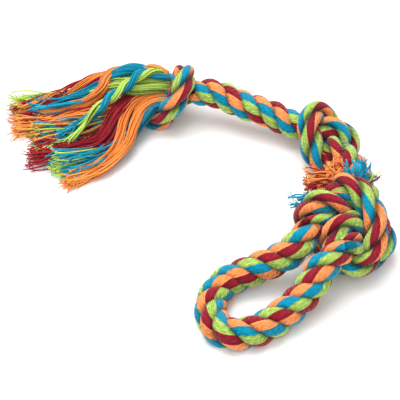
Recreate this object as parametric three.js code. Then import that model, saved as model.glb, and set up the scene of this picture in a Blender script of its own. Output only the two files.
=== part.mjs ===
// Rope tug toy lying on the floor: one length of thick laid rope with a tassel, two overhand knots,
// a hand loop closed by an overhand knot in the doubled rope, and a short frayed tail.
// Millimetres, +Z up, the floor at z = 0.
import * as THREE from 'three';

// Rope
const ROPE_DIAMETER = 20;
const KNOT_ROPE_DIAMETER = 14.2;
const HINGE_ROPE_DIAMETER = 18;
const KNOT_CLEARANCE = 0.8;
const MEETING_GAP = 0.3;
const FLOOR_FLAT = ROPE_DIAMETER / 10;
const REST_HEIGHT = ROPE_DIAMETER / 2 - FLOOR_FLAT;

// Bending places of the rope, in degrees to either side
const TASSEL_BEND = 30;
const ROPE_BEND = 40;
const NECK_BEND = 30;
const LOOP_BEND = 40;
const BEND_MARGIN = 8;

// Drawing a knot tight
const POINT_SPACING = 0.34;
const ROUNDS = 600;
const PUSHES = 6;
const LAST_PUSHES = 100;
const PULL = 0.5;
const PUSH = 0.25;

// Places of the knots: middle on the floor, directions in degrees, reach of both ends in rope spacings
const END_KNOT = { at: [-18.8, 108.9], heading: 8, tilt: 8, roll: 188, hand: 1, reach: [1.8, 1.5] };
const MIDDLE_KNOT = { at: [104.4, 61.4], heading: -55, tilt: 0, roll: 165, hand: -1, reach: [1.5, 1.8] };
const LOOP_KNOT = { at: [106.6, -34.6], heading: -140, tilt: 0, roll: 335, hand: 1, reach: [1.9, 2.2] };
const TAIL_REACH = [1.9, 1.9];

// Bending places and runs of the free rope, heights over the resting height of the rope
const TASSEL_HINGE = [-49, 100, 10];
const STRETCH_START = [[19.5, 103, 16.5]];
const STRETCH_HINGE = [44, 93.5, 14];
const STRETCH_END = [[64, 86, 12], [78, 82, 10.8]];
const NECK_HINGE = [125, 12, 6];
const FAR_LEG_HINGE = [72.5, -60, 19];
const FAR_LEG = [[60.5, -64, 12], [47.5, -67.5, 8]];
const BIGHT = [
  [37.5, -70.5, 5], [27, -74.5, 2.5], [16, -90, 0.4], [16, -105, 0],
  [24.5, -118, 0], [37.5, -118, 0], [49, -114.5, 0.8], [64.5, -103.5, 3.5],
];
const NEAR_LEG = [[74.5, -95.5, 7], [83, -87, 12.5]];
const NEAR_LEG_HINGE = [88.5, -79.5, 19];
const TAIL = [[126, -9, 21], [129, -3, 24.5], [125.5, 2, 30.5]];

// Tassel: a fan of locks in two layers, opening from the apex along the mean heading
const TASSEL_APEX = [-35, 110];
const TASSEL_HEADING = 210;
const TASSEL_SPREAD = 56;
const TASSEL_ROOT = 27;
const TASSEL_THIN = 70;
const TASSEL_ROOT_HEIGHT = 28;
const TASSEL_TIP_HEIGHT = 12;
const TASSEL_ROOT_LIFT = 4;
const LOCK_GAP = 0.5;
const LOCK_TAPER = 16;
const LOCK_FLAT = 1;
const UPPER_LOCKS = [
  ['tassel_maroon_1', 93], ['tassel_blue_1', 99], ['tassel_orange_1', 96],
  ['tassel_green_1', 90], ['tassel_maroon_2', 101], ['tassel_orange_2', 94],
];
const LOWER_LOCKS = [
  ['tassel_green_2', 98], ['tassel_orange_3', 90], ['tassel_maroon_3', 103],
  ['tassel_blue_3', 95], ['tassel_green_3', 98], ['tassel_blue_2', 89],
];

// Tail tufts: they start on a circle round the end of the tail and run on through points given like the
// rope's, with the radius at the tip
const TUFT_CIRCLE = 4.4;
const TUFT_ROOT_RADIUS = 2.2;
const TUFT_LEAD = 3;
const TUFTS = {
  tuft_orange: { turn: 8, run: [[115, 2.5, 42], [101, 6, 43]], radius: 7.5 },
  tuft_maroon: { turn: 80, run: [[101, -1.5, 29.5], [79, -6, 29.5]], radius: 5.8 },
  tuft_small_blue: { turn: 152, run: [[98, 0, 22], [73, -15.5, 19]], radius: 4.2 },
  tuft_green: { turn: 224, run: [[128, 12, 27], [133, 10.5, 22]], radius: 3.4 },
  tuft_blue: { turn: 296, run: [[125.5, 10, 38], [121, 15.5, 41]], radius: 6.5 },
};

const RING_SIDES = 12;
const LOCK_SIDES = 8;
const SAMPLE_STEP = 2.6;

const COLOURS = {
  rope: 0xc0703c,
  maroon: 0x821a2d,
  orange: 0xf0884a,
  blue: 0x1c86b4,
  green: 0x96c046,
};

const radians = THREE.MathUtils.degToRad;
const spacing = KNOT_ROPE_DIAMETER + KNOT_CLEARANCE;

function respaced(line, step) {
  const along = [0];
  for (let i = 1; i < line.length; i++) along.push(along[i - 1] + line[i].distanceTo(line[i - 1]));
  const total = along[along.length - 1];
  const count = Math.max(4, Math.round(total / step));
  const out = [];
  let i = 1;
  for (let k = 0; k <= count; k++) {
    const s = (total * k) / count;
    while (i < line.length - 1 && along[i] < s) i++;
    const t = Math.min(1, (s - along[i - 1]) / (along[i] - along[i - 1]));
    out.push(new THREE.Vector3().lerpVectors(line[i - 1], line[i], t));
  }
  return out;
}

function pushedApart(points, apart) {
  const moves = points.map(() => new THREE.Vector3());
  const way = new THREE.Vector3();
  for (let i = 0; i < points.length; i++) {
    for (let j = i + 1; j < points.length; j++) {
      const a = points[i];
      const b = points[j];
      if (a.rope === b.rope && j - i < Math.ceil(Math.PI / 2 / POINT_SPACING)) continue;
      way.subVectors(b.at, a.at);
      const gap = way.length() + 1e-9;
      if (gap >= apart) continue;
      way.multiplyScalar((PUSH * (apart - gap)) / gap);
      moves[i].sub(way);
      moves[j].add(way);
    }
  }
  points.forEach((p, i) => p.held || p.at.add(moves[i]));
}

// Shortens the ropes of a knot and pushes their passes apart until they lie one spacing from each other
function drawnTight(ropes, apart) {
  let points = [];
  for (let round = 0; round <= ROUNDS; round++) {
    if (round % 10 === 0) {
      points = [];
      ropes.forEach((rope, number) => {
        const line = respaced(rope, POINT_SPACING * apart);
        line.forEach((at, k) => points.push({ at, rope: number, held: k === 0 || k === line.length - 1 }));
      });
    }
    if (round < ROUNDS) {
      const before = points.map((p) => p.at.clone());
      points.forEach((p, i) => {
        if (p.held) return;
        const middle = before[i - 1].clone().add(before[i + 1]).multiplyScalar(0.5);
        p.at.lerp(middle, PULL);
      });
    }
    const pushes = round < ROUNDS ? PUSHES : LAST_PUSHES;
    for (let k = 0; k < pushes; k++) pushedApart(points, apart);
    ropes = ropes.map((rope, number) => points.filter((p) => p.rope === number).map((p) => p.at));
  }
  return ropes;
}

function overhandLine(size, depth, count) {
  const line = [];
  for (let i = 0; i < count; i++) {
    const t = -2.15 + (4.3 * i) / (count - 1);
    const x = t ** 3 - 3 * t;
    const y = t ** 4 - 4 * t ** 2 + 1.5;
    const z = depth * (t ** 5 - 10 * t);
    line.push(new THREE.Vector3(x, y, z).multiplyScalar(size));
  }
  return line;
}

function singleKnot(apart) {
  const reach = new THREE.Vector3(5.8 * apart, 0, 0);
  const line = overhandLine(1.07 * apart, 0.12, 90);
  return drawnTight([[reach.clone().negate(), ...line, reach]], apart);
}

// Two ropes side by side, which change places half a turn round each other along the knot
function doubleKnot(apart) {
  const line = overhandLine(1.45 * apart, 0.15, 140);
  const up = new THREE.Vector3(0, 0, 1);
  const reach = new THREE.Vector3(7.3 * apart, 0, 0);
  const offsets = line.map((p, i) => {
    const ahead = new THREE.Vector3();
    ahead.subVectors(line[Math.min(i + 1, line.length - 1)], line[Math.max(i - 1, 0)]).normalize();
    const side = new THREE.Vector3().crossVectors(up, ahead).normalize();
    const above = new THREE.Vector3().crossVectors(ahead, side);
    const turn = (Math.PI * i) / (line.length - 1);
    const off = side.multiplyScalar(Math.cos(turn)).addScaledVector(above, Math.sin(turn));
    return off.multiplyScalar(apart / 2);
  });
  const ropes = [1, -1].map((sign) => {
    const rope = line.map((p, i) => p.clone().addScaledVector(offsets[i], sign));
    const first = offsets[0].clone().multiplyScalar(sign).sub(reach);
    const last = offsets[line.length - 1].clone().multiplyScalar(sign).add(reach);
    return [first, ...rope, last];
  });
  return drawnTight(ropes, apart);
}

// Turns a knot into its place and lets it down until its lowest rope is cut by the floor
function placedKnot(ropes, place, reaches) {
  const heading = radians(place.heading);
  const tilt = radians(place.tilt);
  const roll = radians(place.roll);
  const x = new THREE.Vector3(
    Math.cos(heading) * Math.cos(tilt),
    Math.sin(heading) * Math.cos(tilt),
    Math.sin(tilt),
  );
  const level = new THREE.Vector3(0, 0, 1).cross(x).normalize();
  const raised = new THREE.Vector3().crossVectors(x, level);
  const y = level.multiplyScalar(Math.cos(roll)).addScaledVector(raised, Math.sin(roll));
  const z = new THREE.Vector3().crossVectors(x, y);
  const turn = new THREE.Matrix4().makeBasis(x, y, z);
  const kept = ropes.map((rope, number) => {
    const [before, after] = reaches[number];
    const first = rope.findIndex((p) => p.x > -before * spacing);
    const last = rope.findLastIndex((p) => p.x < after * spacing);
    const run = rope.slice(first, last + 1);
    return run.map((p) => new THREE.Vector3(p.x, p.y, p.z * place.hand).applyMatrix4(turn));
  });
  const lowest = Math.min(...kept.flat().map((p) => p.z)) - KNOT_ROPE_DIAMETER / 2;
  const shift = new THREE.Vector3(place.at[0], place.at[1], -FLOOR_FLAT - lowest);
  return kept.map((rope) => rope.map((p) => p.add(shift)));
}

// The middle line of the whole rope, from the tassel to the tail
const single = singleKnot(spacing)[0];
const [endKnot] = placedKnot([single.map((p) => p.clone())], END_KNOT, [END_KNOT.reach]);
const [middleKnot] = placedKnot([single.map((p) => p.clone())], MIDDLE_KNOT, [MIDDLE_KNOT.reach]);
const [standingPart, tailPart] = placedKnot(doubleKnot(spacing), LOOP_KNOT, [LOOP_KNOT.reach, TAIL_REACH]);

const mean = new THREE.Vector3(Math.cos(radians(TASSEL_HEADING)), Math.sin(radians(TASSEL_HEADING)), 0);
const across = new THREE.Vector3(-mean.y, mean.x, 0);
const apex = new THREE.Vector3(TASSEL_APEX[0], TASSEL_APEX[1], 0);
const throatHeight = TASSEL_ROOT_LIFT + TASSEL_ROOT_HEIGHT / 2;
const throatEnd = apex.clone().addScaledVector(mean, TASSEL_ROOT - MEETING_GAP).setZ(throatHeight);

const marks = {};
const controls = [];
const lifted = ([x, y, lift]) => new THREE.Vector3(x, y, REST_HEIGHT + lift);
const run = (points) => controls.push(...points);
const mark = (name, point) => {
  if (point) controls.push(point);
  marks[name] = controls.length - 1;
};
mark('throat', throatEnd);
mark('tassel_hinge', lifted(TASSEL_HINGE));
run(endKnot);
mark('end_knot_exit');
run(STRETCH_START.map(lifted));
mark('stretch_hinge', lifted(STRETCH_HINGE));
run(STRETCH_END.map(lifted));
mark('middle_knot_entry', middleKnot[0]);
run(middleKnot.slice(1));
mark('neck_hinge', lifted(NECK_HINGE));
run(standingPart);
mark('far_leg_hinge', lifted(FAR_LEG_HINGE));
run(FAR_LEG.map(lifted));
mark('bight_start');
run(BIGHT.map(lifted));
mark('bight_end');
run(NEAR_LEG.map(lifted));
mark('near_leg_hinge', lifted(NEAR_LEG_HINGE));
run(tailPart.reverse());
mark('tail_start');
run(TAIL.map(lifted));
mark('tail_end');

// Samples of the line, each with its tangent and its distance along, and the sample of each control point
const curve = new THREE.CatmullRomCurve3(controls, false, 'centripetal');
const samples = [];
const sampleOf = [0];
for (let i = 0; i < controls.length - 1; i++) {
  const pieces = Math.max(1, Math.round(controls[i].distanceTo(controls[i + 1]) / SAMPLE_STEP));
  for (let k = i === 0 ? 0 : 1; k <= pieces; k++) {
    const t = (i + k / pieces) / (controls.length - 1);
    samples.push({ at: curve.getPoint(t), ahead: curve.getTangent(t).normalize(), along: 0 });
  }
  sampleOf.push(samples.length - 1);
}
samples.forEach((s, i) => {
  if (i > 0) s.along = samples[i - 1].along + s.at.distanceTo(samples[i - 1].at);
});

// The rope fills the room there is: full diameter where it is free, squeezed where passes lie together
const apartAlong = (Math.PI / 2) * spacing;
function roomAt(i) {
  const s = samples[i];
  let room = ROPE_DIAMETER / 2;
  for (const other of samples) {
    if (Math.abs(other.along - s.along) < apartAlong) continue;
    room = Math.min(room, (s.at.distanceTo(other.at) - KNOT_CLEARANCE) / 2);
  }
  const before = samples[Math.max(i - 2, 0)].ahead;
  const after = samples[Math.min(i + 2, samples.length - 1)].ahead;
  const length = samples[Math.min(i + 2, samples.length - 1)].along - samples[Math.max(i - 2, 0)].along;
  room = Math.min(room, (0.9 * length) / Math.max(before.angleTo(after), 1e-3));
  return Math.max(room, KNOT_ROPE_DIAMETER / 2 - 0.05);
}
const hinges = ['tassel_hinge', 'stretch_hinge', 'neck_hinge', 'far_leg_hinge', 'near_leg_hinge'];
const waist = ROPE_DIAMETER / 2;
const nearby = (list, i) => list.slice(Math.max(0, i - 3), i + 4);
let radii = samples.map((s, i) => roomAt(i));
hinges.forEach((name) => {
  const at = sampleOf[marks[name]];
  samples.forEach((s, i) => {
    if (Math.abs(s.along - samples[at].along) < waist) {
      radii[i] = Math.min(radii[i], radii[at], HINGE_ROPE_DIAMETER / 2);
    }
  });
});
const least = radii.map((r, i) => Math.min(...nearby(radii, i)));
radii = least.map((r, i) => nearby(least, i).reduce((sum, v) => sum + v, 0) / nearby(least, i).length);
hinges.forEach((name) => {
  const at = sampleOf[marks[name]];
  samples.forEach((s, i) => {
    if (Math.abs(s.along - samples[at].along) < waist * 0.8) radii[i] = Math.min(radii[i], radii[at]);
  });
});

let leastGap = Infinity;
samples.forEach((a, i) => {
  for (let j = i + 1; j < samples.length; j++) {
    if (samples[j].along - a.along < apartAlong) continue;
    leastGap = Math.min(leastGap, a.at.distanceTo(samples[j].at) - radii[i] - radii[j]);
  }
});
console.log('least gap of the rope to itself', leastGap.toFixed(2), 'mm');
console.log('length of the rope', samples[samples.length - 1].along.toFixed(0), 'mm');

// Directions across the line, carried along it without twisting
let carried = new THREE.Vector3(0, 0, 1);
samples.forEach((s) => {
  carried = carried.addScaledVector(s.ahead, -carried.dot(s.ahead)).normalize();
  s.side = carried.clone();
  s.other = new THREE.Vector3().crossVectors(s.ahead, carried);
});

function ring(centre, side, other, width, height, sides) {
  const points = [];
  for (let k = 0; k < sides; k++) {
    const turn = (2 * Math.PI * (k + 0.5)) / sides;
    const p = centre.clone().addScaledVector(side, height * Math.cos(turn));
    points.push(p.addScaledVector(other, width * Math.sin(turn)));
  }
  return points;
}

// A closed skin over rings of points, with a point at either end
function skin(first, rings, last) {
  const points = [first, ...rings.flat(), last];
  const sides = rings[0].length;
  const index = [];
  for (let k = 0; k < sides; k++) {
    const next = (k + 1) % sides;
    index.push(0, 1 + next, 1 + k);
    for (let i = 0; i < rings.length - 1; i++) {
      const a = 1 + i * sides;
      const b = a + sides;
      index.push(a + k, a + next, b + next, a + k, b + next, b + k);
    }
    const end = 1 + (rings.length - 1) * sides;
    index.push(end + k, end + next, points.length - 1);
  }
  const geometry = new THREE.BufferGeometry();
  const flat = points.flatMap((p) => [p.x, p.y, Math.max(p.z, 0)]);
  geometry.setAttribute('position', new THREE.Float32BufferAttribute(flat, 3));
  geometry.setIndex(index);
  geometry.computeVertexNormals();
  return geometry;
}

// Rings for one end of a run of rope: a plain cut, a ball or the socket a ball turns in
function endRings(sample, kind, outward, bend) {
  const s = samples[sample];
  const r = radii[sample];
  const place = (along, radius) => {
    const centre = s.at.clone().addScaledVector(s.ahead, along * outward);
    return radius === 0 ? centre : ring(centre, s.side, s.other, radius, radius, RING_SIDES);
  };
  if (kind === 'cut') {
    return { rings: [place(-MEETING_GAP / 2, r)], tip: place(-MEETING_GAP / 2, 0), keep: 1.5 };
  }
  const rings = [];
  if (kind === 'ball') {
    for (let k = 0; k < 4; k++) {
      const turn = (Math.PI / 2) * (k / 4);
      rings.push(place(r * Math.sin(turn), r * Math.cos(turn)));
    }
    return { rings, tip: place(r, 0), keep: 0.5 };
  }
  const half = radians((bend + BEND_MARGIN) / 2);
  const cup = r / Math.cos(half);
  for (let k = 0; k < 5; k++) {
    const turn = half + (Math.PI / 2 - half) * (k / 5);
    rings.push(place(-cup * Math.sin(turn), cup * Math.cos(turn)));
  }
  return { rings, tip: place(-cup, 0), keep: cup * Math.sin(half) + 1 };
}

function ropeRun(fromMark, fromKind, toMark, toKind, bends = [0, 0]) {
  const first = sampleOf[marks[fromMark]];
  const last = sampleOf[marks[toMark]];
  const start = endRings(first, fromKind, -1, bends[0]);
  const end = endRings(last, toKind, 1, bends[1]);
  const rings = [...start.rings].reverse();
  for (let i = first + 1; i < last; i++) {
    const s = samples[i];
    if (s.along - samples[first].along < start.keep || samples[last].along - s.along < end.keep) continue;
    rings.push(ring(s.at, s.side, s.other, radii[i], radii[i], RING_SIDES));
  }
  rings.push(...end.rings);
  return skin(start.tip, rings, end.tip);
}

const smooth = THREE.MathUtils.smoothstep;
const thinning = (a) => smooth(a, TASSEL_ROOT, TASSEL_ROOT + TASSEL_THIN);
const tasselHeight = (a) => THREE.MathUtils.lerp(TASSEL_ROOT_HEIGHT, TASSEL_TIP_HEIGHT, thinning(a));
const tasselBase = (a) => THREE.MathUtils.lerp(TASSEL_ROOT_LIFT, -LOCK_FLAT, smooth(a, TASSEL_ROOT, 60));
const up = new THREE.Vector3(0, 0, 1);

// A lock fills its share of the fan and thins out at its tip
function lock(column, columns, layer, length) {
  const half = Math.tan(radians(TASSEL_SPREAD / 2));
  const slope = half * (1 - (2 * column + 1) / columns);
  const rings = [];
  const steps = 10;
  for (let k = 0; k <= steps; k++) {
    const a = THREE.MathUtils.lerp(TASSEL_ROOT, length, k / steps);
    const taper = Math.sqrt(Math.max(0.16, Math.min(1, (length - a) / LOCK_TAPER)));
    const width = ((a * half) / columns - LOCK_GAP / 2) * taper;
    const height = (tasselHeight(a) / 4 - LOCK_GAP / 2) * taper;
    const floor = tasselBase(a) + (tasselHeight(a) / 4) * (layer === 0 ? taper : 3 - (1 - taper) * 0.5);
    const centre = apex.clone().addScaledVector(mean, a).addScaledVector(across, -a * slope).setZ(floor);
    rings.push(ring(centre, up, across.clone().negate(), width * 1.04, height * 1.04, LOCK_SIDES));
  }
  const middle = (points) => points.reduce((sum, p) => sum.add(p), new THREE.Vector3())
    .divideScalar(points.length);
  return skin(middle(rings[0]), rings, middle(rings[steps]));
}

// The throat runs from the ball in the end knot and widens into the fan
function throat() {
  const hinge = sampleOf[marks.tassel_hinge];
  const end = endRings(hinge, 'ball', 1, 0);
  const half = TASSEL_ROOT * Math.tan(radians(TASSEL_SPREAD / 2)) - LOCK_GAP / 2;
  const rings = [];
  const steps = 4;
  const s = samples[hinge];
  for (let k = 0; k < steps; k++) {
    const t = 1 - k / steps;
    const centre = new THREE.Vector3().lerpVectors(s.at, throatEnd, t);
    const side = s.side.clone().lerp(up, t).normalize();
    const other = s.other.clone().lerp(across, t).normalize();
    const grown = smooth(t, 0, 1);
    const width = THREE.MathUtils.lerp(radii[hinge], half, grown);
    const height = THREE.MathUtils.lerp(radii[hinge], TASSEL_ROOT_HEIGHT / 2 - LOCK_GAP / 2, grown);
    rings.push(ring(centre, side, other, width, height, RING_SIDES));
  }
  return skin(throatEnd.clone(), [...rings, ...end.rings], end.tip);
}

// A tuft leaves the end of the tail straight and opens towards its tip
function tuft({ turn, run: points, radius }) {
  const end = samples[samples.length - 1];
  const level = new THREE.Vector3().crossVectors(up, end.ahead).normalize();
  const above = new THREE.Vector3().crossVectors(end.ahead, level);
  const out = above.multiplyScalar(Math.cos(radians(turn))).addScaledVector(level, Math.sin(radians(turn)));
  const root = end.at.clone().addScaledVector(out, TUFT_CIRCLE).addScaledVector(end.ahead, MEETING_GAP / 2);
  const lead = root.clone().addScaledVector(end.ahead, TUFT_LEAD);
  const line = new THREE.CatmullRomCurve3([root, lead, ...points.map(lifted)], false, 'centripetal');
  const steps = 10;
  const rings = [];
  let side = new THREE.Vector3(0, 0, 1);
  for (let k = 0; k <= steps; k++) {
    const t = k / steps;
    const ahead = line.getTangentAt(t);
    side = side.addScaledVector(ahead, -side.dot(ahead)).normalize();
    const other = new THREE.Vector3().crossVectors(ahead, side);
    const size = THREE.MathUtils.lerp(TUFT_ROOT_RADIUS, radius, t * t);
    rings.push(ring(line.getPointAt(t), side.clone(), other, size, size, LOCK_SIDES));
  }
  return skin(line.getPointAt(0), rings, line.getPointAt(1));
}

const part = new THREE.Group();
part.name = 'rope_tug_toy';
function add(name, geometry, colour) {
  const look = { color: COLOURS[colour], roughness: 0.95, metalness: 0 };
  const material = new THREE.MeshStandardMaterial(look);
  material.name = `${colour}_cotton`;
  const mesh = new THREE.Mesh(geometry, material);
  mesh.name = name;
  part.add(mesh);
}

add('tassel_throat', throat(), 'rope');
[LOWER_LOCKS, UPPER_LOCKS].forEach((locks, layer) => {
  locks.forEach(([name, length], column) => {
    add(name, lock(column, locks.length, layer, length), name.split('_')[1]);
  });
});
const ropeNodes = {
  end_knot: ropeRun('tassel_hinge', 'socket', 'end_knot_exit', 'cut', [TASSEL_BEND, 0]),
  stretch_end_half: ropeRun('end_knot_exit', 'cut', 'stretch_hinge', 'ball'),
  stretch_middle_half: ropeRun('stretch_hinge', 'socket', 'middle_knot_entry', 'cut', [ROPE_BEND, 0]),
  middle_knot: ropeRun('middle_knot_entry', 'cut', 'neck_hinge', 'ball'),
  loop_knot_standing_part: ropeRun('neck_hinge', 'socket', 'far_leg_hinge', 'socket', [NECK_BEND, LOOP_BEND]),
  loop_far_leg: ropeRun('far_leg_hinge', 'ball', 'bight_start', 'cut'),
  loop_bight: ropeRun('bight_start', 'cut', 'bight_end', 'cut'),
  loop_near_leg: ropeRun('bight_end', 'cut', 'near_leg_hinge', 'ball'),
  loop_knot_tail_part: ropeRun('near_leg_hinge', 'socket', 'tail_start', 'cut', [LOOP_BEND, 0]),
  tail_stub: ropeRun('tail_start', 'cut', 'tail_end', 'cut'),
};
Object.entries(ropeNodes).forEach(([name, geometry]) => add(name, geometry, 'rope'));
Object.entries(TUFTS).forEach(([name, shape]) => add(name, tuft(shape), name.split('_').pop()));

export default part;
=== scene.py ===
import math

import bmesh
import bpy
import numpy as np
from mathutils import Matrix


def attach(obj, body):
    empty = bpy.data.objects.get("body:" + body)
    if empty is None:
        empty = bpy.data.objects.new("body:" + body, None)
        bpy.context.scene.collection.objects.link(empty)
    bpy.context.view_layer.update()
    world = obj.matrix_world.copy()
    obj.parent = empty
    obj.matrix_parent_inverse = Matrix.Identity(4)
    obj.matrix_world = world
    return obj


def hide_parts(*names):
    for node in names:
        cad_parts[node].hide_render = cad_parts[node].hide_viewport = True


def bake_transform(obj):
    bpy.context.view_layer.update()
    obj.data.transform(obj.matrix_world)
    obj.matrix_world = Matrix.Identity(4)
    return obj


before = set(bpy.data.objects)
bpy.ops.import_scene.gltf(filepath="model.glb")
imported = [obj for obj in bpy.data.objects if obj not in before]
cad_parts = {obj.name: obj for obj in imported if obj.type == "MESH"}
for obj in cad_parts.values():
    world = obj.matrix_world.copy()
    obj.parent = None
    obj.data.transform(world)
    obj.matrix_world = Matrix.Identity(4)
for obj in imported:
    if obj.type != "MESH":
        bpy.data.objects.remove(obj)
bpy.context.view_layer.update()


# Camera
# The toy lies on the floor and is seen from the front, forty-five degrees from above,
# through a long lens from just under a metre away.
VIEW_CENTRE = (0.008, 0.014, 0.0)
VIEW_DISTANCE = 0.95
VIEW_ELEVATION = math.radians(45)

scene = bpy.context.scene
camera_data = bpy.data.cameras.new("camera")
camera_data.sensor_width = 36
camera_data.lens = 116.3
camera = bpy.data.objects.new("camera", camera_data)
camera.location = (
    VIEW_CENTRE[0],
    VIEW_CENTRE[1] - VIEW_DISTANCE * math.cos(VIEW_ELEVATION),
    VIEW_CENTRE[2] + VIEW_DISTANCE * math.sin(VIEW_ELEVATION),
)
camera.rotation_euler = (math.pi / 2 - VIEW_ELEVATION, 0, 0)
scene.collection.objects.link(camera)
scene.camera = camera


# Knots
# Every knot is tied in the one length of rope and pulled tight by hand: two single overhand knots,
# and one in the doubled rope that closes the hand loop. Pulling shortens the rope until its passes
# press on each other.
KNOT_SPACING = 0.015
KNOT_ROPE_DIAMETER = 0.0142
FLOOR_FLAT = 0.002
POINT_SPACING = 0.34
ROUNDS = 600
ROUNDS_TO_RESPACE = 10
PUSHES = 6
LAST_PUSHES = 100
PULL = 0.5
PUSH = 0.25
OPEN_KNOT_ENDS = 2.15
UP = np.array([0, 0, 1.0])


def respaced(line, step):
    """The same line with its points evenly spaced."""
    lengths = np.linalg.norm(np.diff(line, axis=0), axis=1)
    along = np.concatenate([[0.0], np.cumsum(lengths)])
    count = max(4, round(along[-1] / step))
    at = np.linspace(0, along[-1], count + 1)
    return np.stack([np.interp(at, along, line[:, k]) for k in range(3)], 1)


def pushed_apart(points, passing, free, apart):
    """Moves points of different passes away from each other where they are too close."""
    way = points[None] - points[:, None]
    gap = np.sqrt(np.einsum("ijk,ijk->ij", way, way)) + 1e-12
    push = np.where(passing & (gap < apart), PUSH * (apart - gap) / gap, 0.0)
    return points - free[:, None] * np.einsum("ijk,ij->ik", way, push)


def drawn_tight(ropes, apart):
    """Shortens the ropes between their fixed ends until their passes press on each other."""
    neighbours = math.ceil(math.pi / 2 / POINT_SPACING)
    for turn in range(ROUNDS + 1):
        if turn % ROUNDS_TO_RESPACE == 0:
            ropes = [respaced(rope, POINT_SPACING * apart) for rope in ropes]
            rope_of = np.concatenate([np.full(len(r), k) for k, r in enumerate(ropes)])
            place = np.concatenate([np.arange(len(r)) for r in ropes])
            free = np.concatenate([[0.0] + [1.0] * (len(r) - 2) + [0.0] for r in ropes])
            passing = rope_of[:, None] != rope_of[None]
            passing |= np.abs(place[:, None] - place[None]) >= neighbours
            points = np.concatenate(ropes)
        if turn < ROUNDS:
            middle = (np.roll(points, 1, 0) + np.roll(points, -1, 0)) / 2
            points = points + PULL * free[:, None] * (middle - points)
        for push in range(PUSHES if turn < ROUNDS else LAST_PUSHES):
            points = pushed_apart(points, passing, free, apart)
        ropes = np.split(points, np.flatnonzero(np.diff(rope_of)) + 1)
    return ropes


def overhand_line(size, depth, count):
    """An open overhand knot, with its ends to the left and right."""
    t = np.linspace(-OPEN_KNOT_ENDS, OPEN_KNOT_ENDS, count)
    line = np.stack([t**3 - 3 * t, t**4 - 4 * t**2 + 1.5, depth * (t**5 - 10 * t)], 1)
    return size * line


def unit(vectors):
    return vectors / np.linalg.norm(vectors, axis=-1, keepdims=True)


def single_knot(apart):
    reach = np.array([[5.8 * apart, 0, 0]])
    line = overhand_line(size=1.07 * apart, depth=0.12, count=90)
    return drawn_tight([np.concatenate([-reach, line, reach])], apart)


def double_knot(apart):
    reach = np.array([[7.3 * apart, 0, 0]])
    line = overhand_line(size=1.45 * apart, depth=0.15, count=140)
    ahead = unit(np.gradient(line, axis=0))
    side = unit(np.cross(UP, ahead))
    above = np.cross(ahead, side)
    turn = math.pi * np.linspace(0, 1, len(line))[:, None]
    beside = apart / 2 * (side * np.cos(turn) + above * np.sin(turn))
    ropes = []
    for sign in (1, -1):
        ends = sign * beside[:1] - reach, sign * beside[-1:] + reach
        ropes.append(np.concatenate([ends[0], line + sign * beside, ends[1]]))
    return drawn_tight(ropes, apart)


def placed_knot(ropes, at, heading, tilt, roll, hand, reaches):
    """Turns a knot to its heading, cuts its ropes to their reaches and lays it on the floor."""
    heading, tilt, roll = np.radians([heading, tilt, roll])
    x = np.array([math.cos(heading) * math.cos(tilt), math.sin(heading) * math.cos(tilt), math.sin(tilt)])
    level = unit(np.cross(UP, x))
    y = math.cos(roll) * level + math.sin(roll) * np.cross(x, level)
    turned = []
    for rope, (before, after) in zip(ropes, reaches):
        first = np.flatnonzero(rope[:, 0] > -before * KNOT_SPACING)[0]
        last = np.flatnonzero(rope[:, 0] < after * KNOT_SPACING)[-1]
        run = rope[first : last + 1] * [1, 1, hand]
        turned.append(run @ np.array([x, y, np.cross(x, y)]))
    lowest = np.concatenate(turned)[:, 2].min() - KNOT_ROPE_DIAMETER / 2
    return [run + [*at, -FLOOR_FLAT - lowest] for run in turned]


overhand = single_knot(KNOT_SPACING)
(end_knot,) = placed_knot(
    overhand, at=(-0.0188, 0.1089), heading=8, tilt=8, roll=188, hand=1, reaches=[(1.8, 1.5)]
)
(middle_knot,) = placed_knot(
    overhand, at=(0.1044, 0.0614), heading=-55, tilt=0, roll=165, hand=-1, reaches=[(1.5, 1.8)]
)
standing_part, tail_part = placed_knot(
    double_knot(KNOT_SPACING),
    at=(0.1066, -0.0346), heading=-140, tilt=0, roll=335, hand=1, reaches=[(1.9, 2.2), (1.9, 1.9)],
)


# Rope
# One length of soft three-strand cotton rope, laid right-handed. Each strand is a bundle of yarns in four
# colours, twisted the other way, so that the yarns on the outside run along the rope.
LAY_LENGTH = 0.040
PRESSED_IN = 0.0018
PRESSED_RADIUS = 0.0082
FREE_RADIUS = 0.0106
GATHERED = 0.55
GATHERED_LENGTH = 0.010
OPENED_LAY = 0.68
YARN_TURNS = 2.15
# Runs of the rope by the metre, the turn of its lay there, and the turn of the colours in its three strands
RUN_TURNS = (
    (0.085, 0.190, 0.07, (0.25, 0.28, 0.25)),
    (0.212, 0.304, -0.04, (0.28, 0.18, 0.08)),
    (0.682, 0.769, 0.06, (0.20, 0.35, -0.05)),
    (0.800, 0.851, -0.10, (0.53, 0.65, -0.30)),
    (0.928, 1.015, -0.055, (1.12, 1.08, 0.15)),
    (1.077, 1.139, 0.10, (0.90, 0.85, 0.35)),
    (1.167, 1.249, 0.07, (0.75, 0.70, 0.48)),
)
SAMPLE_STEP = 0.0013
LINE_EASED = 4
RADIUS_EASED = 8
TWIST_EASED = 12
TASSEL_HINGE = (-0.049, 0.100, 0.018)
STRETCH_HINGE = (0.044, 0.0935, 0.022)
NECK_HINGE = (0.125, 0.012, 0.014)
FAR_LEG_HINGE = (0.0725, -0.060, 0.027)
NEAR_LEG_HINGE = (0.0885, -0.0795, 0.027)
THROAT_END = (-0.0581, 0.0966, 0.018)

route = []
marks = {}


def run_on(points, mark=None):
    route.extend(np.asarray(points, float).reshape(-1, 3))
    if mark:
        marks[mark] = len(route) - 1


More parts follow.
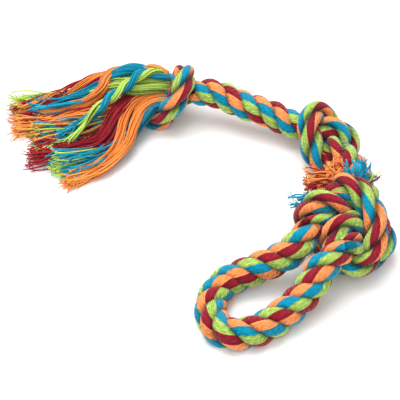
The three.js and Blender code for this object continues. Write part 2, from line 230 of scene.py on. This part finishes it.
run_on(THROAT_END)
run_on(TASSEL_HINGE)
run_on(end_knot[0], "end knot start")
run_on(end_knot[1:], "end knot exit")
run_on((0.0195, 0.1045, 0.0255))
run_on(STRETCH_HINGE)
run_on([(0.064, 0.0855, 0.020), (0.0775, 0.0785, 0.017)])
run_on(middle_knot[0], "middle knot entry")
run_on(middle_knot[1:], "middle knot exit")
run_on(NECK_HINGE)
run_on(standing_part[0], "loop knot entry")
run_on(standing_part[1:], "far leg start")
run_on(FAR_LEG_HINGE)
run_on([(0.0605, -0.064, 0.020), (0.0475, -0.0675, 0.016), (0.0375, -0.0705, 0.013)])
run_on([(0.027, -0.0745, 0.0105), (0.016, -0.090, 0.0084), (0.016, -0.105, 0.008)])
run_on([(0.0245, -0.118, 0.008), (0.0375, -0.118, 0.008)])
run_on([(0.049, -0.1145, 0.0088), (0.0645, -0.1035, 0.0115)])
run_on([(0.0745, -0.0955, 0.015), (0.083, -0.087, 0.0205)])
run_on(NEAR_LEG_HINGE)
run_on(tail_part[-1], "near leg end")
run_on(tail_part[-2::-1], "tail start")
run_on((0.126, -0.009, 0.029), "tail end")
run_on([(0.129, -0.003, 0.0325), (0.1255, 0.002, 0.0385)])


def smooth_line(points, step):
    """A smooth line through the points, and the number of the sample at each of them."""
    p = np.concatenate([2 * points[:1] - points[1:2], points, 2 * points[-1:] - points[-2:-1]])
    line = [points[0]]
    samples = [0]
    for i in range(1, len(p) - 2):
        a, b, c, d = p[i - 1 : i + 3]
        t1, t2, t3 = np.cumsum([np.linalg.norm(w) ** 0.5 for w in (b - a, c - b, d - c)])
        count = max(1, round(np.linalg.norm(c - b) / step))
        t = np.linspace(t1, t2, count + 1)[1:, None]
        ab = (t1 - t) / t1 * a + t / t1 * b
        bc = (t2 - t) / (t2 - t1) * b + (t - t1) / (t2 - t1) * c
        cd = (t3 - t) / (t3 - t2) * c + (t - t2) / (t3 - t2) * d
        abc = (t2 - t) / t2 * ab + t / t2 * bc
        bcd = (t3 - t) / (t3 - t1) * bc + (t - t1) / (t3 - t1) * cd
        line.extend((t2 - t) / (t2 - t1) * abc + (t - t1) / (t2 - t1) * bcd)
        samples.append(len(line) - 1)
    return np.array(line), samples


def carried_frame(ahead):
    """Directions across a line, carried along it without twisting. The first is as upright as can be."""
    start = UP
    side = []
    for way in ahead:
        start = unit(start - way * np.dot(start, way))
        side.append(start)
    side = np.array(side)
    return side, np.cross(ahead, side)


def softened(values, width):
    """The values of a line, smoothed over a number of samples."""
    weights = np.hanning(2 * width + 1)
    padded = np.pad(values, width, mode="edge")
    return np.convolve(padded, weights / weights.sum(), mode="valid")


rope, sample_of = smooth_line(np.array(route), SAMPLE_STEP)
rope = np.stack([softened(axis, LINE_EASED) for axis in rope.T], 1)
sample = {name: sample_of[number] for name, number in marks.items()}
rope_ahead = unit(np.gradient(rope, axis=0))
rope_side, rope_other = carried_frame(rope_ahead)
rope_along = np.concatenate([[0.0], np.cumsum(np.linalg.norm(np.diff(rope, axis=0), axis=1))])

# The rope swells where it is free and is pressed thinner where passes lie on each other
apart = np.linalg.norm(rope[:, None] - rope[None], axis=2)
beside = np.abs(rope_along[:, None] - rope_along[None]) < math.pi / 2 * KNOT_SPACING
room = (np.where(beside, 1.0, apart).min(axis=1) + PRESSED_IN) / 2
rope_radius = softened(np.clip(room, PRESSED_RADIUS, FREE_RADIUS), RADIUS_EASED)

# The tail is gathered in where it opens into its tufts
tail_left = rope_along[sample["tail end"]] - rope_along
rope_radius *= np.interp(tail_left, (0, GATHERED_LENGTH), (GATHERED, 1.0))

# The knots take some of the twist out of the rope, all but a few samples at their ends
twist = np.ones(len(rope))
for first, last in (
    ("end knot start", "end knot exit"),
    ("middle knot entry", "middle knot exit"),
    ("loop knot entry", "far leg start"),
    ("near leg end", "tail start"),
):
    twist[sample[first] + 4 : sample[last] - 3] = OPENED_LAY
twist = softened(twist, TWIST_EASED)
lays = np.concatenate([[0.0], np.cumsum(np.diff(rope_along) * (twist[1:] + twist[:-1]) / 2)]) / LAY_LENGTH


def between(values):
    """One value for each run of the rope, changing evenly from one run to the next."""
    ends = [place for row in RUN_TURNS for place in row[:2]]
    return np.interp(rope_along, ends, np.repeat(values, 2))


rope_turn = 2 * math.pi * (lays + between([row[2] for row in RUN_TURNS]))
colour_turn = [YARN_TURNS * lays + between([row[3][strand] for row in RUN_TURNS]) for strand in range(3)]


def swept(name, lines, radii, sides):
    """A mesh of round tubes along the lines, ring after ring, closed at both ends."""
    curve = bpy.data.curves.new(name, "CURVE")
    curve.dimensions = "3D"
    curve.bevel_depth = 1.0
    curve.bevel_resolution = sides // 2 - 2
    for line, radius in zip(lines, radii):
        spline = curve.splines.new("POLY")
        spline.points.add(len(line) - 1)
        spline.points.foreach_set("co", np.c_[line, np.ones(len(line))].ravel())
        spline.points.foreach_set("radius", radius)
    drawn = bpy.data.objects.new(name, curve)
    scene.collection.objects.link(drawn)
    shown = drawn.evaluated_get(bpy.context.evaluated_depsgraph_get())
    mesh = bpy.data.meshes.new_from_object(shown)
    bpy.data.objects.remove(drawn)
    bpy.data.curves.remove(curve)
    mesh.name = name
    form = bmesh.new()
    form.from_mesh(mesh)
    bmesh.ops.holes_fill(form, edges=[edge for edge in form.edges if edge.is_boundary], sides=0)
    bmesh.ops.recalc_face_normals(form, faces=form.faces)
    form.to_mesh(mesh)
    form.free()
    piece = bpy.data.objects.new(name, mesh)
    scene.collection.objects.link(piece)
    mesh.polygons.foreach_set("use_smooth", np.ones(len(mesh.polygons), bool))
    return piece


FLOOR_GAP = 0.0002


def points_of(piece):
    points = np.empty(3 * len(piece.data.vertices))
    piece.data.vertices.foreach_get("co", points)
    return points.reshape(-1, 3)


def resting(piece):
    """Presses what would be under the floor flat on it."""
    points = points_of(piece)
    points[:, 2] = np.maximum(points[:, 2], FLOOR_GAP)
    piece.data.vertices.foreach_set("co", points.ravel())
    piece.data.update()


def corner_vertices(mesh):
    corner = np.empty(len(mesh.loops), int)
    mesh.loops.foreach_get("vertex_index", corner)
    return corner


def write_map(piece, u, v):
    """Writes the map of the yarns, given for each vertex, without a jump where the turn closes."""
    mesh = piece.data
    corner = corner_vertices(mesh)
    sizes = np.empty(len(mesh.polygons), int)
    mesh.polygons.foreach_get("loop_total", sizes)
    head = np.repeat(np.cumsum(sizes) - sizes, sizes)
    corner_u = u[corner]
    corner_u -= np.round(corner_u - corner_u[head])
    mesh.uv_layers[0].name = "yarn"
    mesh.uv_layers[0].uv.foreach_set("vector", np.c_[corner_u, v[corner]].ravel())


def write_outward(piece, values):
    """Writes how far each vertex looks out of its rope or lock, from one outside to less in a crease; the
    materials paint shade where it is low.
    """
    shown = piece.data.attributes.new("outward", "FLOAT", "POINT")
    shown.data.foreach_set("value", values)


YARNS = 24
STRAND_SIDES = 2 * YARNS
STRAND_SIZE = 0.545
STRAND_OFFSET = 0.515
GROOVE = 0.08
CM = 100


def rope_piece(name, first, last):
    """The three strands of the rope between two of its samples, each of their yarns a ridge along it."""
    run = slice(first, last + 1)
    radius = rope_radius[run, None]
    centres, outs = [], []
    for strand in range(3):
        turn = rope_turn[run, None] + strand * 2 * math.pi / 3
        out = rope_side[run] * np.cos(turn) + rope_other[run] * np.sin(turn)
        outs.append(out)
        centres.append(rope[run] + STRAND_OFFSET * radius * out)
    count = len(radius)
    piece = swept(name, centres, [STRAND_SIZE * radius[:, 0]] * 3, STRAND_SIDES)
    points = points_of(piece).reshape(3, count, STRAND_SIDES, 3)
    places = np.empty((3, count, STRAND_SIDES))
    outward = np.empty((3, count, STRAND_SIDES))
    ridges = np.where(np.arange(STRAND_SIDES) % 2, 1.0, 1 - GROOVE)[None, :, None]
    for strand, (centre, out) in enumerate(zip(centres, outs)):
        ahead = unit(np.gradient(centre, axis=0))
        out = unit(out - ahead * np.sum(out * ahead, axis=1, keepdims=True))
        across = np.cross(ahead, out)
        spokes = points[strand, 0, :2] - centre[0]
        order = np.sign(np.dot(np.cross(spokes[0], spokes[1]), ahead[0]))
        places[strand] = order * np.arange(STRAND_SIDES) / STRAND_SIDES
        turn = 2 * math.pi * (places[strand] - colour_turn[strand][run, None])[..., None]
        spokes = np.cos(turn) * out[:, None] + np.sin(turn) * across[:, None]
        points[strand] = centre[:, None] + STRAND_SIZE * radius[:, None] * ridges * spokes
        # How far each vertex faces out of its strand: the rope's material paints shade where this is low
        outward[strand] = np.cos(turn[..., 0])
    piece.data.vertices.foreach_set("co", points.ravel())
    write_outward(piece, outward.ravel())
    along = np.broadcast_to(CM * rope_along[run, None], (3, count, STRAND_SIDES))
    write_map(piece, places.ravel(), along.ravel())
    resting(piece)
    piece.data.materials.append(rope_cotton)
    return piece


def linear(red, green, blue):
    """A colour given as on a screen, in the values that Blender's sockets take."""
    values = np.array([red, green, blue]) / 255
    return (*np.where(values < 0.04045, values / 12.92, ((values + 0.055) / 1.055) ** 2.4), 1.0)


class Nodes:
    """Adds and links the nodes of one material."""

    def __init__(self, name):
        self.material = bpy.data.materials.new(name)
        self.material.use_nodes = True
        self.tree = self.material.node_tree
        self.shader = self.tree.nodes["Principled BSDF"]

    def add(self, kind, inputs=(), **settings):
        node = self.tree.nodes.new("ShaderNode" + kind)
        for key, value in settings.items():
            setattr(node, key, value)
        for socket, value in enumerate(inputs):
            if isinstance(value, bpy.types.NodeSocket):
                self.tree.links.new(value, node.inputs[socket])
            elif value is not None:
                node.inputs[socket].default_value = value
        return node

    def set(self, **values):
        """Sets the shader's own sockets, or links them."""
        for key, value in values.items():
            socket = self.shader.inputs[key.replace("_", " ")]
            if isinstance(value, bpy.types.NodeSocket):
                self.tree.links.new(value, socket)
            else:
                socket.default_value = value

    def math(self, operation, *inputs):
        return self.add("Math", inputs, operation=operation).outputs[0]

    def total(self, *parts):
        """The sum of values, each with its share."""
        terms = [self.math("MULTIPLY", value, share) for value, share in parts]
        whole = terms[0]
        for term in terms[1:]:
            whole = self.math("ADD", whole, term)
        return whole

    def remap(self, value, ends, results):
        """Carries a value from between two ends to between two results."""
        return self.add("MapRange", (value, *ends, *results)).outputs[0]

    def bulge(self, value):
        """A rounded hill over each whole number of the value: nought at its edges and one in its middle."""
        middle = self.math("SUBTRACT", self.math("FRACT", value), 0.5)
        return self.math("SUBTRACT", 1.0, self.math("MULTIPLY", self.math("MULTIPLY", middle, middle), 4.0))

    def shade(self, colour, brightness):
        mixed = self.add("VectorMath", (colour, None), operation="SCALE")
        self.tree.links.new(brightness, mixed.inputs["Scale"])
        return mixed.outputs[0]

    def yarn_map(self):
        """The place round the strand or the number of the yarn, and the way along it."""
        return self.add("SeparateXYZ", (self.add("UVMap", uv_map="yarn").outputs[0],)).outputs

    def outward(self):
        return self.add("Attribute", attribute_name="outward").outputs["Fac"]

    def noise(self, across, along, detail):
        grain = self.add("CombineXYZ", (across, along)).outputs[0]
        return self.add("TexNoise", (grain, None, 1.0, detail), noise_dimensions="2D").outputs[0]

    def by_number(self, number):
        """A value of its own for every yarn."""
        return self.add("TexWhiteNoise", (None, number), noise_dimensions="1D").outputs[0]

    def soft_cotton(self):
        """Cotton is dull, with a little down on it that catches the light at its edges."""
        self.set(Roughness=0.92, Specular_IOR_Level=0.12, Sheen_Weight=0.25, Sheen_Roughness=0.45)


STRAND_COLOURS = (
    (0.0, linear(150, 28, 48)),
    (0.25, linear(254, 154, 88)),
    (0.5, linear(4, 144, 176)),
    (0.75, linear(176, 208, 100)),
)
FUZZ_PER_CM = 7.0
PLIES_PER_CM = 5.2
BAND_WAVER = 0.025
ROPE_SHADE = 0.47
BUMP_STRENGTH = 0.7
BUMP_HEIGHT = 0.0006

nodes = Nodes("rope_cotton")
nodes.soft_cotton()
place, length, _ = nodes.yarn_map()
yarn = nodes.math("MULTIPLY", place, float(YARNS))
fuzz = nodes.noise(yarn, nodes.math("MULTIPLY", length, FUZZ_PER_CM), detail=3.0)
waver = nodes.math("MULTIPLY", nodes.math("SUBTRACT", fuzz, 0.5), BAND_WAVER)
bands = nodes.add("ValToRGB", (nodes.math("FRACT", nodes.math("ADD", place, waver)),))
stops = bands.color_ramp.elements
stops.remove(stops[1])
bands.color_ramp.interpolation = "CONSTANT"
for start, colour in STRAND_COLOURS:
    stop = stops.new(start) if start else stops[0]
    stop.color = colour
# Painted light and shade: each yarn is lighter on its crown and darker where it meets the next, and the plies
# along it likewise; the ply hills also raise the bump
yarn_shading = nodes.bulge(yarn)
ply_hill = nodes.bulge(nodes.math("ADD", yarn, nodes.math("MULTIPLY", length, PLIES_PER_CM)))
own = nodes.by_number(nodes.math("FLOOR", yarn))
light = nodes.total((yarn_shading, 0.75), (own, 0.26), (ply_hill, 0.20), (fuzz, 1.4))
light = nodes.math("SUBTRACT", light, ROPE_SHADE)
# Painted shade in the creases between the three strands, down to a third of the tone where a strand turns in
crease = nodes.remap(nodes.outward(), (0.05, 0.8), (0.3, 1.0))
light = nodes.math("MULTIPLY", light, crease)
bump = nodes.add("Bump", (BUMP_STRENGTH, BUMP_HEIGHT))
height = nodes.math("ADD", nodes.math("MULTIPLY", ply_hill, 0.5), fuzz)
nodes.tree.links.new(height, bump.inputs["Height"])
nodes.set(Base_Color=nodes.shade(bands.outputs[0], light), Normal=bump.outputs[0])
rope_cotton = nodes.material


# Hand loop
# The bight of the rope below the loop knot, held by the hand. It leaves the knot as two legs and
# lies on the floor in one open bend.
LOOP_SEAT = 6
loop_first = sample["far leg start"] - LOOP_SEAT
loop_last = sample["near leg end"] + LOOP_SEAT
hand_loop = rope_piece("hand_loop_rope", loop_first, loop_last)
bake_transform(hand_loop)
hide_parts("loop_far_leg", "loop_bight", "loop_near_leg")


# Stretch between the knots
# The bare run of the cotton rope between the end knot and the middle knot. It is held by the two knots
# it runs into, a little above the floor.
STRETCH_SEAT = 12
stretch_first = sample["end knot exit"] - STRETCH_SEAT
stretch_last = sample["middle knot entry"] + STRETCH_SEAT
stretch = rope_piece("stretch_rope", stretch_first, stretch_last)
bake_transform(stretch)
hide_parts("stretch_end_half", "stretch_middle_half")


# End knot
# A single overhand knot in the cotton rope, pulled tight, that keeps the rope from opening further than its
# tassel. It is held by nothing but its own passes.
OPENED_SAMPLES = 16
end_knot_piece = rope_piece(
    "end_knot_rope", sample["end knot start"] + OPENED_SAMPLES, sample["end knot exit"]
)
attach(end_knot_piece, "end_run")
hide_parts("end_knot")


# Middle knot
# A second single overhand knot in the same rope, half way along the toy, for the dog to hold. It is tied
# the other way round and pulled tight.
middle_knot_piece = rope_piece("middle_knot_rope", sample["middle knot entry"], sample["middle knot exit"])
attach(middle_knot_piece, "middle_run")
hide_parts("middle_knot")


# Neck
# The short run of the rope behind the tufts. It comes out of the middle knot and runs on into the loop knot.
NECK_SEAT = 3
neck_first = sample["middle knot exit"] - NECK_SEAT
neck_last = sample["loop knot entry"] + NECK_SEAT
neck = rope_piece("neck_rope", neck_first, neck_last)
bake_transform(neck)


# Loop knot
# The overhand knot in the doubled rope: the standing part comes from the neck and leaves as the far leg,
# the tail part comes back from the near leg and ends in the short tail.
standing = rope_piece("loop_knot_standing_rope", sample["loop knot entry"], sample["far leg start"])
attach(standing, "loop_knot")
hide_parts("loop_knot_standing_part")
tail = rope_piece("loop_knot_tail_rope", sample["near leg end"], sample["tail end"])
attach(tail, "loop_knot")
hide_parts("loop_knot_tail_part", "tail_stub")


# Tassel
# The first end of the rope, let out of its lay behind the end knot. Every lock is one colour of a strand: a
# bundle of soft yarns that keeps some of its twist and frays where it was cut.
YARN_SIZE = 0.00055
YARN_SIDES = 6
YARN_CRIMP = 0.0018
YARN_STEP = 0.003
YARN_WANDER = 0.25
YARN_SWELL = 0.08
SHORTEST_YARN = 6
STRAY_SIZE = 0.7
STRAY_SINK = 0.4
SHELL = (0.74, 1.02)
END_SPREAD = 1.15
GOLDEN_PART = 0.618
HEART_SIZE = 0.72
HEART_LENGTH = 0.8
THREADS = 3
THREAD_SIZE = 0.00028
THREAD_POINTS = 6
THREAD_CURL = 0.3
THREAD_STRAIGHT = 0.012
FUZZ_PER_LOCK = 80.0
MM = 1000


def yarn_cotton(name, shaded, bright):
    """Yarns of one dye, each a little different, with painted shade in the heart of their lock and under it,
    and paler at the tips.
    """
    nodes = Nodes(name)
    nodes.soft_cotton()
    number, length, _ = nodes.yarn_map()
    own = nodes.by_number(number)
    fuzz = nodes.noise(number, nodes.math("MULTIPLY", length, FUZZ_PER_LOCK), detail=2.0)
    tip = nodes.remap(length, (0.85, 1.0), (0.0, 0.3))
    # Painted shade: the heart of each lock and the yarns on its underside are pulled towards the shaded tone
    core_shade = nodes.remap(length, (-1.0, 0.0), (0.5, 0.0))
    under = nodes.remap(nodes.outward(), (-0.2, 0.7), (0.42, 0.0))
    light = nodes.math("SUBTRACT", nodes.math("ADD", nodes.total((own, 0.5), (fuzz, 0.5)), tip), core_shade)
    light = nodes.math("SUBTRACT", nodes.math("ADD", light, 0.06), under)
    tones = nodes.add("ValToRGB", (light,))
    tones.color_ramp.elements[0].color = shaded
    tones.color_ramp.elements[1].color = bright
    nodes.set(Base_Color=tones.outputs[0])
    return nodes.material


cotton = {
    "maroon": yarn_cotton("maroon_cotton", linear(96, 12, 24), linear(186, 36, 52)),
    "orange": yarn_cotton("orange_cotton", linear(214, 90, 30), linear(255, 178, 88)),
    "blue": yarn_cotton("blue_cotton", linear(0, 86, 110), linear(8, 176, 212)),
    "green": yarn_cotton("green_cotton", linear(104, 130, 44), linear(214, 250, 114)),
}


def loose_yarns(
    name, colours, path, widths, yarns, seed,
    fray=0.07, twist=0.3, splay=0.005, ends=(0.003, 0.008), strays=0, swings=(0.008, 0.020), tangle=0.004,
):
    """A bundle of yarns round a heart painted dark as shade, along a path, close at its root and loose at its
    cut ends.
    """
    line, _ = smooth_line(np.array(path, float) / MM, YARN_STEP)
    ahead = unit(np.gradient(line, axis=0))
    side, other = carried_frame(ahead)
    level = unit(np.cross(UP, ahead))
    reach = np.linspace(0, 1, len(line))
    width = np.interp(reach, np.linspace(0, 1, len(widths)), widths) / MM
    random = np.random.default_rng(seed)
    dyes = list(dict.fromkeys(colours))
    # The heart is a tube through the middle of the lock, painted dark as the shade between its yarns
    heart = int(HEART_LENGTH * len(line))
    lines = [line[:heart].copy()]
    radii = [HEART_SIZE * width[:heart] * (1 - reach[:heart] ** 3)]
    owners = [0]
    hues = [0]
    tops = [np.zeros(heart)]
    for yarn in range(yarns):
        shell = random.uniform(*SHELL)
        end_shell = math.sqrt((yarn * GOLDEN_PART + 0.3) % 1) * END_SPREAD
        spread = shell + (end_shell - shell) * reach**1.5
        wave = random.uniform(0, 2 * math.pi, 2)
        turn = 2 * math.pi * (yarn / yarns + twist * reach) + YARN_WANDER * np.sin(5 * reach + wave[0])
        offset = width * spread * (1 + YARN_SWELL * np.sin(11 * reach + wave[1]))
        loose = random.normal(0, splay, 2)
        crimp = YARN_CRIMP * reach**2
        a = offset * np.cos(turn) + loose[0] * reach**2.5 + crimp * np.sin(17 * reach + wave[0])
        b = offset * np.sin(turn) + loose[1] * reach**2.5 + crimp * np.sin(14 * reach + wave[1])
        end = max(SHORTEST_YARN, round(len(line) * (1 - random.uniform(0, fray))))
        run = line + side * a[:, None] + other * b[:, None]
        # How far each yarn faces up: the yarn material paints shade under the lock from it, fading out
        # towards the loose ends
        top = side[:, 2] * np.cos(turn) + other[:, 2] * np.sin(turn)
        top = 1 - (1 - top) * (1 - reach**2)
        size = YARN_SIZE
        if yarn < strays:
            size *= STRAY_SIZE
            swing = random.uniform(*swings) * random.choice([-1, 1])
            run = run + level * (swing * reach * np.sin(7 * reach + wave[0]))[:, None]
            run[:, 2] *= 1 - STRAY_SINK * reach**2
        run = run[:end]
        lines.append(run)
        radii.append(np.full(end, size))
        tops.append(top[:end])
        for thread in range(THREADS):
            way = unit(run[-1] - run[-4] + random.normal(0, tangle, 3))
            bend = random.normal(0, THREAD_CURL, 3)
            steps = np.linspace(0, random.uniform(*ends), THREAD_POINTS)[:, None]
            lines.append(run[-2] + steps * way + steps**2 / THREAD_STRAIGHT * bend)
            radii.append(np.full(THREAD_POINTS, THREAD_SIZE))
            tops.append(np.ones(THREAD_POINTS))
        owners += [yarn + 1] * (1 + THREADS)
        hues += [dyes.index(colours[yarn * len(colours) // yarns])] * (1 + THREADS)
    for run, radius in zip(lines, radii):
        run[:, 2] = np.maximum(run[:, 2], radius + FLOOR_GAP)
    piece = swept(name, lines, radii, YARN_SIDES)
    line_of = np.repeat(np.arange(len(lines)), [YARN_SIDES * len(run) for run in lines])
    along = np.concatenate([np.linspace(0, 1, len(run)) for run in lines])
    # A map below nought tells the yarn material to paint the heart as shade
    along[:heart] = -1.0
    write_map(piece, np.array(owners, float)[line_of], np.repeat(along, YARN_SIDES))
    write_outward(piece, np.repeat(np.concatenate(tops), YARN_SIDES))
    for dye in dyes:
        piece.data.materials.append(cotton[dye])
    first = np.empty(len(piece.data.polygons), int)
    piece.data.polygons.foreach_get("loop_start", first)
    face_line = line_of[corner_vertices(piece.data)[first]]
    piece.data.polygons.foreach_set("material_index", np.array(hues)[face_line])
    resting(piece)
    return piece


def tassel_lock(name, colours, path, piece_name=None, **shape):
    piece = loose_yarns((piece_name or name) + "_yarns", colours, path, **shape)
    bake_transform(piece)
    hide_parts(name)
    return piece


tassel_lock(
    "tassel_maroon_1",
    ["maroon", "orange"] * 3,
    [(-14, 110, 22), (-25, 118, 28), (-39, 121, 33), (-55, 119, 32), (-71, 117, 29), (-85, 114, 24),
     (-98, 110, 18), (-115, 109, 11), (-130, 108, 7), (-140, 106, 5)],
    widths=(4, 4.5, 5, 5, 5), yarns=34, seed=1, twist=-1.1, splay=0.002,
)
tassel_lock(
    "tassel_blue_1",
    ["blue"],
    [(-21, 117, 33), (-33, 114, 40), (-46, 114, 41), (-56, 112, 38), (-64, 112, 31), (-72, 111, 26),
     (-80, 105, 23), (-91, 102, 20), (-103, 101, 16), (-113, 102, 13), (-122, 104, 10)],
    widths=(4, 4.5, 4.5, 3.5, 5), yarns=38, seed=2, twist=0.9, splay=0.003,
)
tassel_lock(
    "tassel_orange_1",
    ["orange"],
    [(-18, 115, 34), (-27, 115, 41), (-37, 114, 41), (-47, 116, 37.5), (-54, 117, 38.5), (-60, 114, 38.5),
     (-64, 108, 37.5), (-66, 101, 35), (-72, 99, 29), (-81, 100, 21), (-94, 100, 14), (-107, 98, 10),
     (-119, 97, 7)],
    widths=(3.6, 3.1, 2.5, 2.9, 3.5), yarns=28, seed=3, twist=0.8, splay=0.003, strays=2,
)
green_lock = tassel_lock(
    "tassel_green_2",
    ["green"],
    [(-15, 110, 24), (-21, 105, 33), (-30, 102, 35), (-40, 100, 35), (-52, 104, 33), (-67, 107, 25),
     (-87, 109, 16), (-113, 115, 9), (-139, 115, 5)],
    widths=(5.5, 6.5, 6.5, 5, 4.5), yarns=46, seed=4, strays=1,
)
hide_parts("tassel_throat")
tassel_lock(
    "tassel_orange_3",
    ["orange"] * 5 + ["maroon"],
    [(-21, 113, 20), (-32, 106, 25), (-44, 99, 26), (-58, 93, 22), (-72, 93, 18), (-85, 94, 14),
     (-100, 93, 10), (-117, 91, 7), (-138, 90, 5)],
    widths=(4, 4, 3.6, 3.6, 4.5), yarns=34, seed=5, strays=2,
)
tassel_lock(
    "tassel_maroon_2",
    ["maroon"],
    [(-18, 113, 17), (-31, 107, 23), (-44, 98, 26), (-53, 87, 24), (-59, 77, 20), (-63, 68, 15),
     (-70, 61, 11), (-84, 58, 8), (-104, 57, 6), (-122, 56, 4)],
    widths=(5, 6.5, 6.5, 6, 6), yarns=40, seed=6, splay=0.003, strays=2,
)
tassel_lock(
    "tassel_orange_2",
    ["orange"],
    [(-14, 103, 22), (-23, 101, 28), (-34, 98, 29), (-44.5, 91, 26), (-50.5, 78, 21), (-53, 65, 16),
     (-58, 54, 11), (-67, 43, 8), (-79, 36, 6), (-93, 28, 4)],
    widths=(4, 4.3, 3.3, 2.9, 2.6), yarns=28, seed=7, splay=0.0025, strays=4,
)
tassel_lock(
    "tassel_orange_2",
    ["orange"],
    [(-14, 102, 21), (-22, 97, 26), (-31, 92, 27), (-37.5, 86, 24), (-42, 74, 19), (-45.5, 62, 14),
     (-54, 51, 10), (-64, 41, 7), (-76, 34, 5), (-90, 27, 4)],
    widths=(4, 3.9, 2.8, 2.5, 2.4), yarns=24, seed=13, splay=0.002, piece_name="tassel_orange_2_side",
)
tassel_lock(
    "tassel_blue_3",
    ["blue"],
    [(-14, 106, 16), (-21, 97, 23), (-29, 94, 23), (-35, 88, 19), (-42, 80, 13), (-51, 68, 9),
     (-63, 56, 8), (-74, 47, 8), (-85, 43, 7), (-94, 40, 5)],
    widths=(5, 6.5, 6, 5, 5.5), yarns=40, seed=8, strays=2,
)
tassel_lock(
    "tassel_green_3",
    ["green"] * 4 + ["blue"],
    [(-17, 113, 10), (-32, 101, 10), (-46, 82, 8), (-59, 66, 6), (-76, 52, 7), (-91, 46, 7), (-105, 45, 6)],
    widths=(4, 4, 4, 4.5, 5), yarns=32, seed=9,
)
tassel_lock(
    "tassel_maroon_3",
    ["maroon", "green", "maroon", "orange", "blue"] * 5,
    [(-18, 115, 10), (-39, 101, 14), (-55, 92, 14), (-68, 86, 12), (-82, 80, 10), (-97, 77, 8),
     (-112, 76, 6), (-122, 74, 5)],
    widths=(4, 4, 5, 6, 7.5), yarns=50, seed=10, splay=0.007, strays=20, swings=(0.004, 0.012),
)

# Two thin locks that stay twisted together, over all the others
TWIN_OFFSET = 1.9
TWIN_STEP = 3
TWIN_PATH = [
    (-17, 111, 34), (-24, 106, 44), (-33, 103, 47), (-39, 99, 47), (-45, 95, 44), (-51, 92, 40),
    (-59, 89, 35), (-65, 86, 31), (-72, 82, 26), (-78, 79, 21), (-84, 74, 17), (-90, 71, 13), (-97, 68, 9),
]
TWIN_PLACES = (0, 0.14, 0.39, 0.65, 0.80, 1)
TWIN_HALF_TURNS = (0.8, 0, -2, -4, -4.6, -4.9)
twin_line, _ = smooth_line(np.array(TWIN_PATH, float), TWIN_STEP)
twin_side, twin_other = carried_frame(unit(np.gradient(twin_line, axis=0)))
twin_reach = np.linspace(0, 1, len(twin_line))[:, None]
twin_turn = math.pi * np.interp(twin_reach, TWIN_PLACES, TWIN_HALF_TURNS)
twin_off = TWIN_OFFSET * (twin_side * np.cos(twin_turn) + twin_other * np.sin(twin_turn))
tassel_lock(
    "tassel_green_1",
    ["green"],
    twin_line + twin_off,
    widths=(2.2, 2.1, 2, 2, 2.4), yarns=16, seed=11, twist=-1.0, splay=0.0015,
)
tassel_lock(
    "tassel_blue_2",
    ["blue"],
    twin_line - twin_off,
    widths=(2.5, 2.4, 2.2, 2.5, 3.4), yarns=20, seed=12, twist=-1.0, splay=0.002,
)


# Tail tufts
# The second end of the cotton rope, cut short where it comes out of the loop knot and brushed open into
# stiff tufts of yarn. They all grow out of the end of the tail.
TUFT_ROOT = (124, -9, 30)


def tail_tuft(name, colours, path, **shape):
    piece = loose_yarns(
        name + "_threads", colours, [TUFT_ROOT, *path], **shape,
        fray=0.4, splay=0.003, twist=0.1, ends=(0.002, 0.005), tangle=0.010,
    )
    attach(piece, "loop_knot")
    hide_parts(name)


tail_tuft(
    "tuft_orange",
    (["orange"] * 6 + ["maroon"]) * 4,
    [(111, -3, 36), (103, 1, 42), (98, 5, 46)],
    widths=(5.5, 5, 6.5, 8), yarns=110, seed=21,
)
tail_tuft(
    "tuft_maroon",
    ["maroon", "orange"] * 20,
    [(110, -6, 34), (95, -7, 38), (81, -8, 37)],
    widths=(5, 5.5, 8, 9), yarns=120, seed=22,
)
tail_tuft(
    "tuft_small_blue",
    ["blue"],
    [(110, -11, 29), (90, -15, 28), (72, -17, 23)],
    widths=(3, 3, 4, 5.5), yarns=60, seed=23,
)
tail_tuft(
    "tuft_green",
    ["green", "maroon", "blue"] * 6,
    [(124, -4, 34), (126, 0, 36), (127, 3, 37)],
    widths=(4.5, 4, 3.5, 4), yarns=40, seed=24,
)
tail_tuft(
    "tuft_blue",
    (["blue"] * 9 + ["orange"]) * 4,
    [(121, -6, 36), (118, -2, 43), (117, 4, 47)],
    widths=(5.5, 6, 8, 9.5), yarns=120, seed=25,
)


# Floor and light
# A plain pale floor under soft studio light: a wide lamp high on the left behind the toy, a weaker one
# from the front, and an even pale surround.
FLOOR_SIZE = 6
SURROUND_STRENGTH = 0.47

floor_mesh = bpy.data.meshes.new("floor")
form = bmesh.new()
bmesh.ops.create_grid(form, x_segments=1, y_segments=1, size=FLOOR_SIZE)
form.to_mesh(floor_mesh)
form.free()
floor = bpy.data.objects.new("floor", floor_mesh)
scene.collection.objects.link(floor)
nodes = Nodes("floor_pale")
nodes.set(Base_Color=(0.95, 0.95, 0.95, 1), Roughness=0.9, Specular_IOR_Level=0.0)
floor_mesh.materials.append(nodes.material)

world = bpy.data.worlds.new("surround")
world.use_nodes = True
surround = world.node_tree.nodes["Background"]
surround.inputs["Color"].default_value = (1, 1, 1, 1)
surround.inputs["Strength"].default_value = SURROUND_STRENGTH
scene.world = world


def lamp(name, place, size, power):
    """A round lamp that looks at the middle of the floor."""
    data = bpy.data.lights.new(name, "AREA")
    data.shape = "DISK"
    data.size = size
    data.energy = power
    lamp_object = bpy.data.objects.new(name, data)
    lamp_object.location = place
    x, y, z = place
    lamp_object.rotation_euler = (math.atan2(math.hypot(x, y), z), 0, math.atan2(-y, -x) - math.pi / 2)
    scene.collection.objects.link(lamp_object)


lamp("key_lamp", place=(-0.22, 0.42, 1.75), size=1.5, power=31)
lamp("front_lamp", place=(-0.2, -1.1, 1.5), size=1.8, power=16)

scene.view_settings.view_transform = "Standard"
